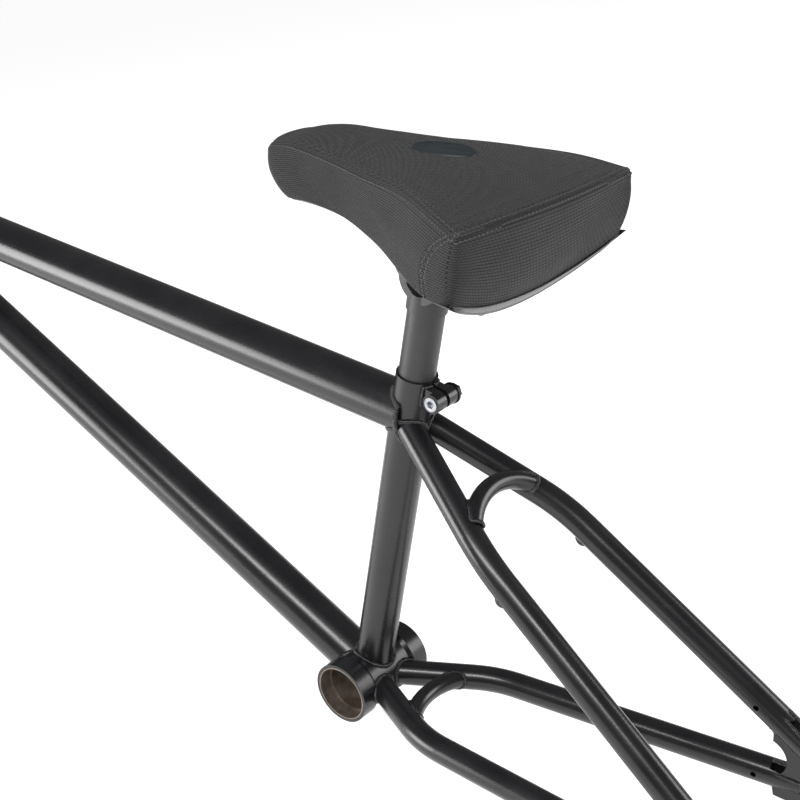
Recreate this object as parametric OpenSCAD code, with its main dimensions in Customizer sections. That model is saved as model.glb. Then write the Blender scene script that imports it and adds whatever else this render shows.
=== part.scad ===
// Bare BMX frame with a built-in seat clamp, a straight pivotal seat post and a
// padded pivotal seat. Millimetres, +X forward, +Y left, +Z up, and the origin is
// the centre of the bottom bracket shell.

/* [Frame layout] */
// Angle of the seat tube above the horizontal
seat_angle = 71; // [69:0.5:73]
// Angle of the head tube above the horizontal
head_angle = 75; // [74:0.25:76]
// Bottom bracket centre to the top of the seat tube
seat_tube_length = 271; // [240:1:300]
// Seat tube axis to head tube axis, along the top tube
top_tube_length = 536; // [500:1:560]
// Rise of the top tube toward the head tube, in degrees
top_tube_rise = 11.5; // [9:0.5:14]
// Length of the head tube
head_tube_length = 114; // [106:1:122]
// Bottom bracket centre back to the rear axle
rear_centre = 350; // [335:1:365]
// Rise of the bottom bracket centre above the rear axle
bottom_bracket_rise = 30; // [24:1:36]
// Width between the rear dropouts
hub_width = 110; // [108:1:114]

/* [Tube sizes] */
// Outside diameter of the seat tube
seat_tube_d = 28.6; // [28.6:0.1:31.8]
// Outside diameter of the top tube and the down tube
main_tube_d = 34.9; // [31.8:0.1:36]
// Outside diameter of the rear stays
stay_d = 19; // [16:0.5:20]
// Outside diameter of the two stay bridges
bridge_d = 12.7; // [10:0.1:14]

/* [Bottom bracket and head] */
// Width of the bottom bracket shell
shell_width = 73; // [68:1:75]
// Bore of the bottom bracket bearing seats
shell_bore = 41.2; // [40:0.1:42]
// Bore of the head tube bearing seats
head_bore = 41.8; // [41:0.1:42.5]

/* [Seat post] */
// Outside diameter of the seat post
post_d = 25.4; // [25:0.1:25.8]
// Length of the seat post up to its pivot
post_length = 200; // [180:1:230]
// Pivot height above the top of the seat tube
post_height = 75; // [68:1:100]
// Twist of the post in the seat tube, in degrees
post_twist = -3.6; // [-6:0.1:6]

/* [Seat] */
// Pitch of the seat, nose up, in degrees
seat_pitch = 9.4; // [4:0.2:14]
// Length of the seat along its top seam
seat_length = 210; // [190:1:240]
// Width of the seat at its rear corners
seat_width = 164; // [145:1:180]
// Height of the padded sides
side_height = 44; // [36:1:50]

/* [Hidden] */
$fn = 64;
weld_gap = 0.1;
slide_gap = 0.05;
// a bent tube is drawn a little thinner through its bend, which starts inside the straight part
bend_thinning = 0.04;
bend_lap = 0.5;

// frame geometry
lean = 90 - seat_angle;
seat_dir = [-cos(seat_angle), 0, sin(seat_angle)];
head_dir = [-cos(head_angle), 0, sin(head_angle)];
top_dir = [cos(top_tube_rise), 0, sin(top_tube_rise)];
top_start = seat_dir * (seat_tube_length - 30);
top_end = top_start + top_dir * top_tube_length;
head_above = 29;
head_below = head_tube_length - head_above;
down_drop = head_below - 33;
down_end = top_end - head_dir * down_drop;
axle = [-sqrt(rear_centre * rear_centre - bottom_bracket_rise * bottom_bracket_rise),
        0, -bottom_bracket_rise];
wall = 1.6;
seat_tube_r = seat_tube_d / 2;
main_r = main_tube_d / 2;
stay_r = stay_d / 2;
bridge_r = bridge_d / 2;
post_r = post_d / 2;

// bottom bracket shell
shell_half = shell_width / 2;
shell_r = shell_bore / 2 + 3.2;
shell_waist_r = shell_r - 2.2;
shell_cup = 14;
bearing_depth = 11;

// rear stays: corner points of their bent centre lines, left side
stay_out = hub_width / 2 + 8.5;
chain_start = [-12, 8.1, -2];
chain_bend = [-85, 44.5, -7.7];
chain_tip = [axle[0] + 24, stay_out, axle[2] + 2.5];
seat_stay_start = seat_dir * (seat_tube_length - 36) + [0, 5, 0];
seat_stay_bend = [-164, 44.2, 152.8];
seat_stay_tip = [axle[0] + 22, stay_out - 2, axle[2] + 34];
chain_bend_r = 93;
seat_bend_r = 150;
// length of each stay's solid tip, and the place of its vent hole from the tip
chain_tip_solid = 26;
seat_tip_solid = 32;
chain_vent = 34;
seat_vent = 40;
vent_r = 2;

// dropout plates
plate = 6;
plate_y = hub_width / 2 + plate / 2;
pocket_back = 30;
pocket_size = [77.3, 83.3];
slot_w = 14.2;
slot_length = 34;

// seat clamp
clamp_drop = 9.6;
clamp_back = 21.8;
clamp_half = 10.5;
lug_r = 6.8;
slit = 3;
bolt_r = 3;
bolt_head_r = 5;

// pivot
pivot_s = seat_tube_length + post_height;
head_r = 17;
head_inner_r = 11.5;
head_half = 13;
tilt = 15;
pivot_bolt_r = 4;
nut_flat = 3;
base_above = 9;
bolt_seat_z = head_r + base_above;

// seat: its stations run from the nose, 0, to the rear, 1
nose_x = 120;
rear_x = nose_x - seat_length;
width_k = seat_width / 164;
seam_w = [[0, 11], [0.02, 18.5], [0.05, 22.8], [0.12, 25.6], [0.3, 32.8], [0.5, 44.4],
          [0.7, 56.5], [0.88, 73], [0.96, 79.5], [1, 81.5]];
seam_z = [[0, 64.5], [0.06, 68.5], [0.12, 71], [0.3, 73.4], [0.5, 74.9], [0.7, 76], [0.88, 74.1], [1, 70]];
crown = 8.5;
side_bulge = 3;
rear_bow = 10;
lip_bow = -16;
lip_drop = 23;
lip_h = 7;
skin = 1.9;
base_t = 3;
nose_gap = 4;
// the foam stands this far inside the covers, and is drawn in lengthwise by foam_scale
foam_gap = 1.4;
foam_scale = 0.95;
// the foam rests this far above the tray, and the lip stops short of the side covers
foam_lift = 3.5;
lip_reach = 0.96;
stations = [0, 0.02, 0.05, 0.09, 0.15, 0.23, 0.32, 0.41, 0.5, 0.59, 0.68, 0.77, 0.86, 0.93, 1];
top_steps = 10;
side_steps = 4;

// ---------- shared shapes ----------

// turns +Z onto the direction of v
module aim(v) {
    rotate([0, atan2(norm([v[0], v[1]]), v[2]), atan2(v[1], v[0])]) children();
}

module rod(a, b, r) {
    translate(a) aim(b - a) cylinder(r = r, h = norm(b - a));
}

module along_y(r, y0, y1) {
    translate([0, y0, 0]) rotate([-90, 0, 0]) cylinder(r = r, h = y1 - y0);
}

function unit(v) = v / norm(v);

// a rod from a to c by way of the corner b, which is an arc of radius bend
module bent_rod(a, b, c, r, bend) {
    u = unit(b - a);
    w = unit(c - b);
    turn = acos(u * w);
    cut = bend * tan(turn / 2);
    side = unit(w - u * (u * w));
    axis = cross(u, side);
    centre = b - u * cut + side * bend;
    rod(a, b - u * (cut - bend_lap), r);
    rod(b + w * (cut - bend_lap), c, r);
    multmatrix([[-side[0], u[0], axis[0], centre[0]],
                [-side[1], u[1], axis[1], centre[1]],
                [-side[2], u[2], axis[2], centre[2]]])
        rotate_extrude(angle = turn)
            translate([bend, 0]) circle(r = r - bend_thinning);
}

module mirrored_if(flip) {
    mirror([0, flip ? 1 : 0, 0]) children();
}

module seat_tube_solid(gap) {
    aim(seat_dir) cylinder(r = seat_tube_r + gap, h = seat_tube_length);
}

module bottom_bracket_solid(gap) {
    r = shell_r + gap;
    waist = shell_waist_r + gap;
    step = shell_half - shell_cup;
    rotate([-90, 0, 0]) rotate_extrude()
        polygon([[0, -shell_half], [r, -shell_half], [r, -step], [waist, -step + 3],
                 [waist, step - 3], [r, step], [r, shell_half], [0, shell_half]]);
}

module head_tube_solid(gap) {
    cup = 15;
    r = head_bore / 2 + 3.4 + gap;
    mid = r - 4;
    translate(top_end - head_dir * head_below) aim(head_dir) rotate_extrude()
        polygon([[0, 0], [r, 0], [r, cup], [mid, cup + 6], [mid, head_tube_length - cup - 6],
                 [r, head_tube_length - cup], [r, head_tube_length], [0, head_tube_length]]);
}

// ---------- main tubes ----------

module head_tube() {
    bearing = 9;
    seat_r = head_bore / 2;
    inner = seat_r - 3.5;
    color("#16171a") difference() {
        head_tube_solid(0);
        translate(top_end - head_dir * head_below) aim(head_dir) rotate_extrude()
            polygon([[0, -1], [seat_r, -1], [seat_r, bearing], [inner, bearing + 3.5],
                     [inner, head_tube_length - bearing - 3.5], [seat_r, head_tube_length - bearing],
                     [seat_r, head_tube_length + 1], [0, head_tube_length + 1]]);
    }
}

module top_tube() {
    color("#16171a") difference() {
        rod(top_start, top_end, main_r);
        rod(top_start - top_dir, top_end + top_dir, main_r - wall);
        seat_tube_solid(weld_gap);
        head_tube_solid(weld_gap);
    }
}

module down_tube() {
    axis = unit(down_end);
    color("#16171a") difference() {
        rod([0, 0, 0], down_end, main_r);
        rod(-axis, down_end + axis, main_r - wall);
        bottom_bracket_solid(weld_gap);
        head_tube_solid(weld_gap);
        seat_tube_solid(weld_gap);
        rod(top_start, top_end, main_r + weld_gap);
    }
}

module seat_tube() {
    color("#16171a") difference() {
        seat_tube_solid(0);
        aim(seat_dir) translate([0, 0, -1])
            cylinder(r = post_r + slide_gap, h = seat_tube_length + 2);
        bottom_bracket_solid(weld_gap);
        aim(seat_dir) translate([0, -slit / 2, seat_tube_length - 26])
            cube([seat_tube_r + 2, slit, 30]);
    }
}

module bottom_bracket_shell() {
    inner = shell_bore / 2 - 1.6;
    color("#16171a") difference() {
        bottom_bracket_solid(0);
        along_y(inner, -shell_half - 1, shell_half + 1);
        for (y = [-shell_half - 1, shell_half - bearing_depth])
            along_y(shell_bore / 2, y, y + bearing_depth + 1);
    }
}

// ---------- rear triangle ----------

// each stay as a solid of radius r that stops short of its tip
module chain_stay_solid(r, short) {
    u = unit(chain_tip - chain_bend);
    bent_rod(chain_start, chain_bend, chain_tip - u * short, r, chain_bend_r);
}

module seat_stay_solid(r, short) {
    u = unit(seat_stay_tip - seat_stay_bend);
    bent_rod(seat_stay_start, seat_stay_bend, seat_stay_tip - u * short, r, seat_bend_r);
}

// the slot in the left stays' tips that the dropout plate is let into
module plate_slot() {
    translate([axle[0] - pocket_back, plate_y - plate / 2 - weld_gap, axle[2] - pocket_back])
        cube([pocket_size[0], plate + 2 * weld_gap, pocket_size[1]]);
}

module chain_stay(flip) {
    u = unit(chain_tip - chain_bend);
    color("#16171a") mirrored_if(flip) difference() {
        chain_stay_solid(stay_r, 0);
        chain_stay_solid(stay_r - wall, chain_tip_solid);
        bottom_bracket_solid(weld_gap);
        plate_slot();
        translate(chain_tip - u * chain_vent) along_y(vent_r, -20, 0);
    }
}

module seat_stay(flip) {
    u = unit(seat_stay_tip - seat_stay_bend);
    color("#16171a") mirrored_if(flip) difference() {
        seat_stay_solid(stay_r, 0);
        seat_stay_solid(stay_r - wall, seat_tip_solid);
        seat_tube_solid(weld_gap);
        translate([-200, -30, 0]) cube([200, 30 + weld_gap, 400]);
        plate_slot();
        translate(seat_stay_tip - u * seat_vent) along_y(vent_r, -20, 0);
    }
}

module chain_stay_bridge() {
    arc = 55;
    sweep = 37;
    up = 15;
    crown_at = [-55.5, 0, -3];
    color("#16171a") difference() {
        translate(crown_at) rotate([0, -up, 0]) translate([-arc, 0, 0])
            rotate_extrude(angle = 2 * sweep, start = -sweep)
                translate([arc, 0]) circle(r = bridge_r);
        for (flip = [false, true]) mirrored_if(flip) chain_stay_solid(stay_r + weld_gap, 0);
    }
}

module seat_stay_bridge() {
    arc = 45;
    sweep = 47;
    up = 55;
    crown_at = [-139.8, 0, 183];
    color("#16171a") difference() {
        translate(crown_at) rotate([0, -up, 0]) translate([-arc, 0, 0])
            rotate_extrude(angle = 2 * sweep, start = -sweep)
                translate([arc, 0]) circle(r = bridge_r);
        for (flip = [false, true]) mirrored_if(flip) seat_stay_solid(stay_r + weld_gap, 0);
    }
}

// the left plate without its axle slot
module dropout_outline() {
    translate([axle[0], plate_y, axle[2]]) rotate([90, 0, 0])
        translate([0, 0, -plate / 2])
            linear_extrude(plate) difference() {
                polygon([[-19, -12.5], [20, -12.5], [46, -9], [47, 4], [43, 40], [44, 46], [35, 53],
                         [18, 42], [3, 18], [-7, 12.5], [-19, 12.5]]);
                translate([49, 21]) circle(r = 14.5);
            }
}

module dropout(flip) {
    color("#16171a") mirrored_if(flip) difference() {
        dropout_outline();
        translate([axle[0], plate_y, axle[2]]) {
            along_y(slot_w / 2, -plate, plate);
            translate([-slot_length, -plate, -slot_w / 2]) cube([slot_length, 2 * plate, slot_w]);
        }
    }
}

module brake_boss(flip) {
    u = unit(seat_stay_tip - seat_stay_bend);
    down = unit([-u[2], 0, u[0]]);
    at = seat_stay_bend + u * 24;
    color("#16171a") mirrored_if(flip) difference() {
        rod(at + down * (stay_r - 1.2), at + down * (stay_r + 1.6), 5);
        rod(at, at + down * (stay_r + 3), 3);
        seat_stay_solid(stay_r + weld_gap, 0);
    }
}

// ---------- seat clamp ----------

module at_clamp() {
    translate(seat_dir * (seat_tube_length - clamp_drop)) rotate([0, -lean, 0])
        translate([-clamp_back, 0, 0]) children();
}

// the left lug, grown by gap, as a solid
module clamp_lug_solid(gap) {
    at_clamp() {
        along_y(lug_r + gap, slit / 2 - gap, clamp_half + gap);
        translate([-gap, slit / 2 - gap, -lug_r - gap])
            cube([clamp_back + gap, 6 + 2 * gap, 2 * (lug_r + gap)]);
    }
}

module clamp_lug(flip) {
    color("#16171a") mirrored_if(flip) difference() {
        clamp_lug_solid(0);
        seat_tube_solid(weld_gap);
        at_clamp() {
            along_y(bolt_r + weld_gap, -1, clamp_half + 1);
            if (!flip) along_y(bolt_head_r + 0.2, clamp_half - 5, clamp_half + 1);
        }
    }
}

module clamp_bolt() {
    color("#b9bcc0") at_clamp() difference() {
        union() {
            along_y(bolt_r, -clamp_half - 4.5, clamp_half - 4.9);
            along_y(bolt_head_r, clamp_half - 4.9, clamp_half + 0.6);
        }
        translate([0, clamp_half - 2.4, 0]) rotate([-90, 0, 0]) cylinder(r = 2.9, h = 4, $fn = 6);
    }
}

module clamp_nut() {
    color("#2a2b2e") at_clamp() difference() {
        union() {
            along_y(7.5, -clamp_half - 1.6, -clamp_half - 0.1);
            translate([0, -clamp_half - 5.5, 0]) rotate([-90, 0, 0]) cylinder(r = 5.7, h = 4, $fn = 6);
        }
        along_y(bolt_r + slide_gap, -clamp_half - 7, -clamp_half + 1);
    }
}

// ---------- seat post and pivot ----------

module on_post() {
    translate(seat_dir * pivot_s) rotate([0, -lean, 0]) rotate([0, 0, post_twist]) children();
}

module on_seat() {
    on_post() rotate([0, lean - seat_pitch, 0]) children();
}

module seat_post() {
    color("#26272a") on_post() translate([0, 0, -post_length]) difference() {
        cylinder(r = post_r, h = post_length - head_r - 8);
        translate([0, 0, -1]) cylinder(r = post_r - 2.6, h = post_length);
    }
}

module post_head() {
    neck = 26;
    slot_half = pivot_bolt_r + 0.4;
    slot_top = head_r + 4;
    reach = tilt + 22;
    color("#26272a") on_post() difference() {
        union() {
            along_y(head_r, -head_half, head_half);
            translate([0, 0, -head_r - 7.9]) cylinder(r = post_r + 1.2, h = 14);
            translate([0, 0, -head_r - 8 - neck]) cylinder(r = post_r - 2.65, h = neck + 1);
        }
        along_y(head_inner_r, -head_half - 1, head_half + 1);
        rotate([0, lean - seat_pitch, 0]) translate([0, slot_half, 0]) rotate([90, 0, 0])
            linear_extrude(2 * slot_half)
                polygon([[0, 0], [-slot_top * tan(reach), slot_top], [slot_top * tan(reach), slot_top]]);
    }
}

module half_moon_nut() {
    color("#a7aaad") on_seat() difference() {
        along_y(head_inner_r - slide_gap, -head_half + 3, head_half - 3);
        translate([-20, -20, -40 + nut_flat]) cube([40, 40, 40]);
        cylinder(r = pivot_bolt_r + slide_gap, h = 30);
    }
}

module pivot_bolt() {
    color("#b9bcc0") on_seat() difference() {
        union() {
            translate([0, 0, nut_flat - 1]) cylinder(r = pivot_bolt_r, h = bolt_seat_z + 4 - nut_flat);
            translate([0, 0, bolt_seat_z + 2]) cylinder(r = 6.5, h = 6);
        }
        translate([0, 0, bolt_seat_z + 4.5]) cylinder(r = 3.46, h = 5, $fn = 6);
    }
}

module pivot_washer() {
    color("#b9bcc0") on_seat() translate([0, 0, bolt_seat_z + 0.1]) difference() {
        cylinder(r = 9, h = 1.8);
        translate([0, 0, -1]) cylinder(r = pivot_bolt_r + slide_gap, h = 4);
    }
}

// ---------- seat ----------

function seat_x(t) = nose_x + (rear_x - nose_x) * t;
function half_w(t) = lookup(t, seam_w) * width_k;
function seam_h(t) = lookup(t, seam_z);
// the plan bow pushes the middle of the rear edge back
function bow(t, k) = -rear_bow * pow(t, 8) * (1 - k * k);
function top_pt(t, k, d) =
    [seat_x(t) + bow(t, k) + (t == 0 ? -d : 0), half_w(t) * k,
     seam_h(t) + crown * (1 - k * k) * (1 - pow(1 - t, 6)) - d];
// the side falls from the seam, s = 0, to the lower edge, s = 1
function side_pt(t, s, d) =
    [seat_x(t) - (1 - t) * 12 * s * pow(1 - t, 6) - d * pow(1 - t, 12),
     max(half_w(t) * (1 + 0.03 * s) + side_bulge * sin(180 * s) - d, 0.6),
     seam_h(t) - side_height * (0.86 + 0.14 * t) * s];
function base_pt(t, k, d) =
    let (e = side_pt(t, 1, skin + 0.4))
    [e[0] - lip_bow * pow(t, 8) * (1 - k * k) - nose_gap * pow(1 - t, 4), (e[1] - 0.6) * k,
     e[2] - (8 + (lip_drop - 8) * t * t) * (1 - k * k) * (1 - pow(1 - t, 10)) + d];
function rear_top(k, d) =
    [rear_x - rear_bow * (1 - k * k) - 2 + d, half_w(1) * k,
     seam_h(1) + crown * (1 - k * k) - skin - 0.1];
// a point of the foam, from the point of the cover over it or the base under it
function foam_pt(p, w, k, drop) = [p[0] * foam_scale, (w - skin - foam_gap) * k, p[2] - drop];
function rear_low(k, up, d) =
    [rear_x - lip_bow * (1 - k * k) - 2 + d, half_w(1) * 1.03 * k,
     seam_h(1) - side_height - lip_drop * (1 - k * k) + up];

// joins rows of points, outer then inner, into one closed shell
module shell(outer, inner) {
    n = len(outer);
    m = len(outer[0]);
    size = n * m;
    pts = concat([for (row = outer) each row], [for (row = inner) each row]);
    function at(i, j) = i * m + j;
    skins = [for (i = [0:n - 2], j = [0:m - 2]) each [
        [at(i, j), at(i, j + 1), at(i + 1, j)], [at(i, j + 1), at(i + 1, j + 1), at(i + 1, j)],
        [size + at(i, j), size + at(i + 1, j), size + at(i, j + 1)],
        [size + at(i, j + 1), size + at(i + 1, j), size + at(i + 1, j + 1)]]];
    ends = [for (j = [0:m - 2]) each [
        [at(0, j), size + at(0, j), at(0, j + 1)], [at(0, j + 1), size + at(0, j), size + at(0, j + 1)],
        [at(n - 1, j), at(n - 1, j + 1), size + at(n - 1, j)],
        [at(n - 1, j + 1), size + at(n - 1, j + 1), size + at(n - 1, j)]]];
    edges = [for (i = [0:n - 2]) each [
        [at(i, 0), at(i + 1, 0), size + at(i, 0)], [at(i + 1, 0), size + at(i + 1, 0), size + at(i, 0)],
        [at(i, m - 1), size + at(i, m - 1), at(i + 1, m - 1)],
        [at(i + 1, m - 1), size + at(i, m - 1), size + at(i + 1, m - 1)]]];
    polyhedron(pts, concat(skins, ends, edges));
}

across = [for (j = [0:top_steps]) 1 - 2 * j / top_steps];

module top_shell() {
    shell([for (t = stations) [for (k = across) top_pt(t, k, 0)]],
          [for (t = stations) [for (k = across) top_pt(t, k, skin)]]);
}

module patch_outline(grow) {
    on_seat() translate([-9, 0, 60]) linear_extrude(60)
        scale([1.9, 1]) circle(r = 12.5 + grow, $fn = 40);
}

module top_cover() {
    color("#232427") difference() {
        on_seat() top_shell();
        patch_outline(0.1);
    }
}

module bolt_patch() {
    color("#1b1c1e") intersection() {
        on_seat() top_shell();
        patch_outline(0);
    }
}

module side_cover(flip) {
    rows = [for (j = [0:side_steps]) j / side_steps];
    color("#232427") on_seat() mirrored_if(flip)
        shell([for (t = stations) [for (s = rows) side_pt(t, s, skin) - [0, 0, skin + 0.1]]],
              [for (t = stations) [for (s = rows) side_pt(t, s, 0) - [0, 0, skin + 0.1]]]);
}

module rear_cover() {
    color("#232427") on_seat()
        shell([for (k = across) [rear_top(k, skin), rear_low(k, lip_h + 0.1, skin)]],
              [for (k = across) [rear_top(k, 0), rear_low(k, lip_h + 0.1, 0)]]);
}

module seat_foam() {
    color("#3a3a3c") on_seat() difference() {
        shell([for (t = stations) [for (k = across)
                  foam_pt(top_pt(t, k, skin), half_w(t), k, 0.9)]],
              [for (t = stations) [for (k = across)
                  foam_pt(base_pt(t, k, base_t), half_w(t), k, -foam_lift)]]);
        cylinder(r = 12, h = 100);
        translate([-22, -20, 0]) cube([44, 40, bolt_seat_z + 0.2]);
    }
}

module seat_base() {
    cheek = 3;
    out = head_half + 0.4 + cheek;
    color("#101012") on_seat() {
        difference() {
            union() {
                shell([for (t = stations) [for (k = across) base_pt(t, k, base_t)]],
                      [for (t = stations) [for (k = across) base_pt(t, k, 0)]]);
                shell([for (k = lip_reach * across) [rear_low(k, -0.8, 0), rear_low(k, lip_h - 0.3, 0)]],
                      [for (k = lip_reach * across) [rear_low(k, -0.8, 3), rear_low(k, lip_h - 0.3, 3)]]);
                translate([-22, -out, -1]) cube([44, 2 * out, bolt_seat_z + 1]);
            }
            along_y(head_r + slide_gap, -head_half - 0.4, head_half + 0.4);
            translate([-head_r - slide_gap, -head_half - 0.4, -40])
                cube([2 * (head_r + slide_gap), 2 * (head_half + 0.4), 40]);
            cylinder(r = pivot_bolt_r + 0.3, h = 60);
        }
    }
}

head_tube();
top_tube();
down_tube();
seat_tube();
bottom_bracket_shell();
chain_stay(false);  // left_chain_stay
chain_stay(true);  // right_chain_stay
seat_stay(false);  // left_seat_stay
seat_stay(true);  // right_seat_stay
chain_stay_bridge();
seat_stay_bridge();
dropout(false);  // left_dropout
dropout(true);  // right_dropout
clamp_lug(false);  // left_clamp_lug
clamp_lug(true);  // right_clamp_lug
brake_boss(false);  // left_brake_boss
brake_boss(true);  // right_brake_boss
clamp_bolt();
clamp_nut();
seat_post();
post_head();
half_moon_nut();
pivot_bolt();
pivot_washer();
seat_base();
seat_foam();
top_cover();
side_cover(false);  // left_cover
side_cover(true);  // right_cover
rear_cover();
bolt_patch();
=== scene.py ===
import bpy
import bmesh
import math
import numpy as np
from mathutils import Matrix, Vector
from mathutils.bvhtree import BVHTree
from mathutils.kdtree import KDTree


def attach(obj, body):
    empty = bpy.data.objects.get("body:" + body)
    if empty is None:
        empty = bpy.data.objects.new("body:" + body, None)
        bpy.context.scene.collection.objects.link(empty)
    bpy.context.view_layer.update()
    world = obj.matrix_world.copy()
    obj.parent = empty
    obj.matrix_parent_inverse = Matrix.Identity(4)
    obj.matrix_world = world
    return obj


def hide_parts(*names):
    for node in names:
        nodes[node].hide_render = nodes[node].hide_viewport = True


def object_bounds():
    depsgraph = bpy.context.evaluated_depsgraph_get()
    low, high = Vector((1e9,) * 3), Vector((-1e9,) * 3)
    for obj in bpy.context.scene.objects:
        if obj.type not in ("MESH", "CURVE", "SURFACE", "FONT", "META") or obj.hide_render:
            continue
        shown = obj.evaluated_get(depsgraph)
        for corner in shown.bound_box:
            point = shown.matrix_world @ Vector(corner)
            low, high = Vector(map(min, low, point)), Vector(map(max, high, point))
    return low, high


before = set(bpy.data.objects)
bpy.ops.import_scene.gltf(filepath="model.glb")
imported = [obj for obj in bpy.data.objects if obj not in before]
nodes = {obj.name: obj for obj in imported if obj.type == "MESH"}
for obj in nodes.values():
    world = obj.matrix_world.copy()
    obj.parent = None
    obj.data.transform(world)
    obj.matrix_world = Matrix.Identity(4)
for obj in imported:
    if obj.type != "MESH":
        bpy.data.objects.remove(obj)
cad_low, cad_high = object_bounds()

# Camera: a studio view from the left, behind and above, with a long lens. The frame
# leans a little in the picture, so the camera is rolled.
view_turn, view_rise, view_roll = math.radians(43.0), math.radians(21.2627), math.radians(-8.366)
look_at = Vector((-0.06922, 0.0, 0.23390))
back = Vector((-math.sin(view_turn) * math.cos(view_rise),
               math.cos(view_turn) * math.cos(view_rise), math.sin(view_rise)))
level = (-back).cross(Vector((0, 0, 1))).normalized()
upright = level.cross(-back)
across = level * math.cos(view_roll) + upright * math.sin(view_roll)
upward = -level * math.sin(view_roll) + upright * math.cos(view_roll)
lens = bpy.data.cameras.new("camera")
lens.lens = 67.2955
lens.sensor_width = 36.0
camera = bpy.data.objects.new("camera", lens)
bpy.context.scene.collection.objects.link(camera)
turn = Matrix((across, upward, back)).transposed().to_4x4()
camera.matrix_world = Matrix.Translation(look_at + back * 1.01249) @ turn
bpy.context.scene.camera = camera
bpy.context.scene.view_settings.view_transform = "Standard"


# Frame tubes: butted steel tubes, mitred and welded, under one coat of satin black paint.
# The paint shows soft long highlights, a faint orange peel, dust and a few hairline rubs.
class Value:
    """One value in a finish. Sums and products of values add the nodes that work them out."""

    def __init__(self, finish, socket):
        self.finish, self.socket = finish, socket

    def maths(self, operation, *others):
        return self.finish.node("ShaderNodeMath", {"operation": operation}, dict(enumerate((self,) + others)))

    def __add__(self, other):
        return self.maths("ADD", other)

    def __mul__(self, other):
        return self.maths("MULTIPLY", other)

    def __sub__(self, other):
        return self.maths("SUBTRACT", other)

    def __rsub__(self, other):
        return self.finish.node("ShaderNodeMath", {"operation": "SUBTRACT"}, {0: other, 1: self})

    __radd__, __rmul__ = __add__, __mul__

    def ramp(self, low, high, start=0.0, end=1.0):
        """Runs smoothly from start to end as the value goes from low to high."""
        return self.finish.node("ShaderNodeMapRange", {"interpolation_type": "SMOOTHSTEP"},
                                {0: self, 1: low, 2: high, 3: start, 4: end})


class Finish:
    """A material and its one shader. Keyword values are the same all over the surface."""

    def __init__(self, name, **constants):
        self.material = bpy.data.materials.new(name)
        self.material.use_nodes = True
        self.tree = self.material.node_tree
        self.shader = self.tree.nodes["Principled BSDF"]
        for key, value in constants.items():
            self.shader.inputs[key.replace("_", " ")].default_value = value

    def node(self, kind, settings=None, sockets=None, output=0):
        """Adds a node, sets it up, feeds its sockets, and gives its output as a Value."""
        made = self.tree.nodes.new(kind)
        for key, value in (settings or {}).items():
            if key == "stops":
                for number, (place, colour) in enumerate(value):
                    stop = made.color_ramp.elements[number] if number < 2 else made.color_ramp.elements.new(place)
                    stop.position, stop.color = place, (*colour, 1)
            else:
                setattr(made, key, value)
        for key, value in (sockets or {}).items():
            if isinstance(value, Value):
                self.tree.links.new(value.socket, made.inputs[key])
            else:
                made.inputs[key].default_value = value
        return Value(self, made.outputs[output])

    def place(self, uv=False):
        return self.node("ShaderNodeTexCoord", output="UV" if uv else "Object")

    def noise(self, scale, detail=3.0, place=None, stretch=None):
        place = place or self.place()
        if stretch:
            place = self.node("ShaderNodeMapping", None, {"Vector": place, "Scale": stretch})
        return self.node("ShaderNodeTexNoise", None, {"Vector": place, "Scale": scale, "Detail": detail})

    def colours(self, factor, first, second):
        return self.node("ShaderNodeMix", {"data_type": "RGBA"},
                         {0: factor, 6: (*first, 1) if isinstance(first, tuple) else first,
                          7: (*second, 1) if isinstance(second, tuple) else second}, output=2)

    def feed(self, **sockets):
        for key, value in sockets.items():
            self.tree.links.new(value.socket, self.shader.inputs[key.replace("_", " ")])
        return self

    def bump(self, height, depth, strength=1.0):
        return self.feed(Normal=self.node("ShaderNodeBump", None,
                                          {"Height": height, "Distance": depth, "Strength": strength}))


def satin_paint(name, gloss=0.27, tone=1.0):
    paint = Finish(name, Metallic=0.0, Specular_IOR_Level=0.5, Coat_Roughness=0.12, IOR=1.5)
    blotch = paint.noise(26.0, 4.0)
    peel = paint.noise(620.0, 2.0)
    dust = paint.noise(2600.0, 2.0).ramp(0.66, 0.8)
    rub = paint.noise(60.0, 5.0, stretch=(1, 1, 9)).ramp(0.62, 0.72)
    black = paint.colours(blotch.ramp(0.3, 0.7), (0.0055 * tone, 0.0055 * tone, 0.0065 * tone),
                          (0.0085 * tone, 0.0085 * tone, 0.0095 * tone))
    paint.feed(Base_Color=paint.colours(dust * 0.25, black, (0.05, 0.05, 0.05)),
               Roughness=blotch * 0.07 + rub * 0.05 + (gloss - 0.035))
    paint.bump(peel * 0.7 + dust * 0.3, 0.00006, 0.5)
    return paint


frame_paint = satin_paint("frame_paint")
painted = ["head_tube", "top_tube", "down_tube", "seat_tube", "left_chain_stay", "right_chain_stay",
           "left_seat_stay", "right_seat_stay", "chain_stay_bridge", "seat_stay_bridge",
           "left_clamp_lug", "right_clamp_lug", "left_brake_boss", "right_brake_boss"]


def finish_node(name, finish):
    """Gives a CAD node its finish."""
    piece = nodes[name]
    piece.data.materials.clear()
    piece.data.materials.append(finish.material)


for name in painted:
    finish_node(name, frame_paint)
for name in ("left_dropout", "right_dropout"):
    finish_node(name, frame_paint)


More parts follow.
